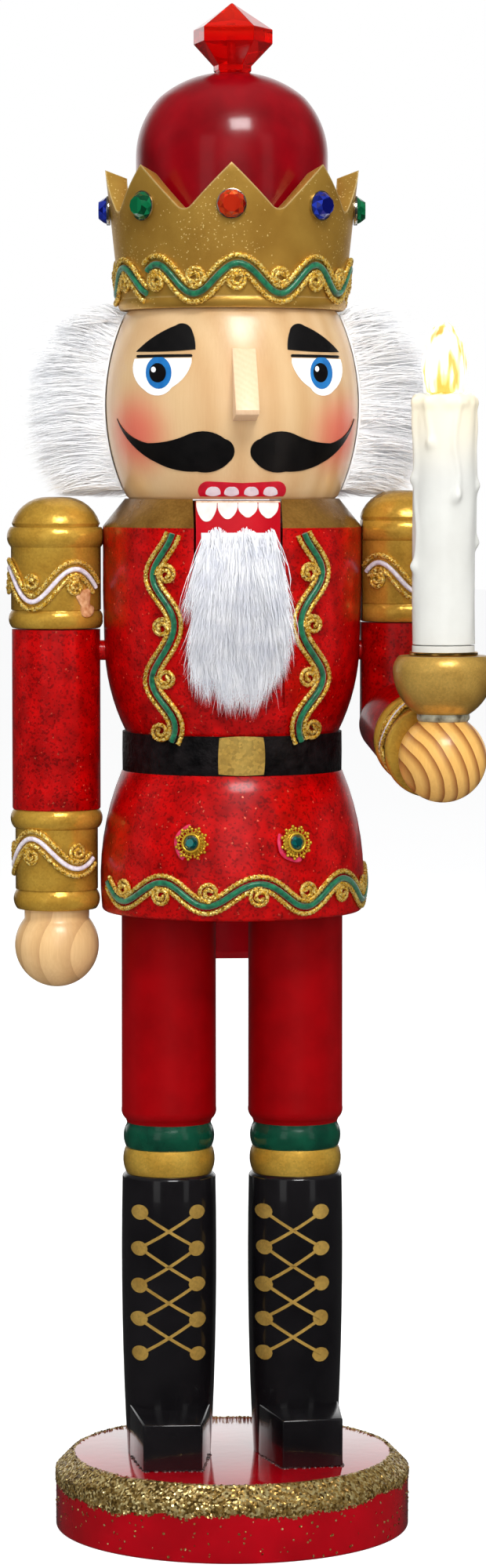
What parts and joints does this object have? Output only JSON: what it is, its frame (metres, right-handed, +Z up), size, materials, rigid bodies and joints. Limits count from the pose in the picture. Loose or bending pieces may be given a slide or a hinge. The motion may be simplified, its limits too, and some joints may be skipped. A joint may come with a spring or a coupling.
{
  "type": "nutcracker figure",
  "caption": "Turned wooden king nutcracker with a lever jaw, fur hair and beard, braided coat and crown, on a round base, holding a battery candle.",
  "frame": {"origin": "centre of the base's flat underside", "axes": "+Z up through the figure; the face looks along -Y; the straight arm is on -X and the candle is on +X"},
  "size_m": [0.1157, 0.126, 0.381],
  "materials": {
    "crimson_lacquer": "glossy crimson lacquer on turned wood",
    "glitter_coat": "red glitter paint on turned wood",
    "boot_and_trouser": "glossy crimson trousers, green and gold rings and black boots painted on one turning",
    "black_lacquer": "glossy black lacquer",
    "gold_paint": "satin gold paint on turned wood",
    "gold_foil": "bright gold paint over red glitter sleeve",
    "bare_wood": "varnished pale wood",
    "face_wood": "varnished pale wood with painted face",
    "dowel_wood": "plain beech dowel",
    "jaw_paint": "red lacquer with painted white teeth",
    "steel": "plain drawn wire",
    "brass": "pressed brass",
    "white_fur": "white long-pile fur fabric",
    "green_gold_braid": "gold cord braid with a green satin cord",
    "white_gold_braid": "gold cord braid with a white cord",
    "red_crystal": "clear red faceted acrylic",
    "blue_crystal": "foil-backed blue acrylic",
    "green_crystal": "foil-backed green acrylic",
    "teal_crystal": "foil-backed teal acrylic",
    "candle_white": "moulded ivory plastic, slightly translucent",
    "holder_plastic": "moulded ivory plastic",
    "cell_jacket": "printed steel can, left plain",
    "clear_crystal": "clear faceted plastic, glowing warm white",
    "diode": "warm white diode"
  },
  "bodies": {
    "figure": {"base_disc": "crimson_lacquer", "base_screws": "steel", "left_leg": "boot_and_trouser", "right_leg": "boot_and_trouser", "left_foot": "black_lacquer", "right_foot": "black_lacquer", "leg_dowels": "dowel_wood", "coat_skirt": "glitter_coat", "body_dowel": "dowel_wood", "coat_torso": "glitter_coat", "head_dowels": "dowel_wood", "jaw_pin": "steel", "head": "face_wood", "nose": "bare_wood", "hair": "white_fur", "crown_dowel": "dowel_wood", "crown": "gold_paint", "cap": "crimson_lacquer", "finial_pin": "steel", "finial_gem": "red_crystal", "arm_dowels": "dowel_wood", "hand_dowels": "dowel_wood", "left_arm": "gold_foil", "left_hand": "bare_wood", "right_upper_arm": "gold_foil", "right_forearm": "gold_foil", "right_hand": "bare_wood", "cup_pin": "steel", "candle_cup": "gold_paint", "candle_ring": "brass", "battery_holder": "holder_plastic", "contact_spring": "steel", "battery_cell": "cell_jacket", "crown_braid": "green_gold_braid", "skirt_braid": "green_gold_braid", "left_front_braid": "green_gold_braid", "right_front_braid": "green_gold_braid", "left_shoulder_braid": "white_gold_braid", "right_shoulder_braid": "white_gold_braid", "left_cuff_braid": "white_gold_braid", "right_cuff_braid": "white_gold_braid", "left_button": "brass", "right_button": "brass", "left_button_stone": "teal_crystal", "right_button_stone": "teal_crystal", "crown_stone_1": "green_crystal", "crown_stone_2": "blue_crystal", "crown_stone_3": "green_crystal", "crown_stone_4": "red_crystal", "crown_stone_5": "blue_crystal", "crown_stone_6": "green_crystal", "crown_stone_7": "red_crystal", "crown_stone_8": "blue_crystal"},
    "jaw": {"jaw_lever": "jaw_paint", "beard": "white_fur"},
    "candle": {"candle_sleeve": "candle_white", "led_socket": "holder_plastic", "contact_plate": "brass"},
    "flame": {"flame_lens": "clear_crystal", "led": "diode"}
  },
  "joints": [
    {"name": "jaw_hinge", "type": "hinge", "parent": "figure", "child": "jaw", "pos_m": [0, 0, 0.2395], "axis": [1, 0, 0], "range_deg": [0, 15], "deforming": ["beard"]},
    {"name": "candle_lift", "type": "slide", "parent": "figure", "child": "candle", "axis": [0, 0, 1], "range_m": [0, 0.06]},
    {"name": "flame_twist", "type": "hinge", "parent": "candle", "child": "flame", "pos_m": [0.047, -0.062, 0.2838], "axis": [0, 0, 1], "range_deg": [0, 90]}
  ]
}
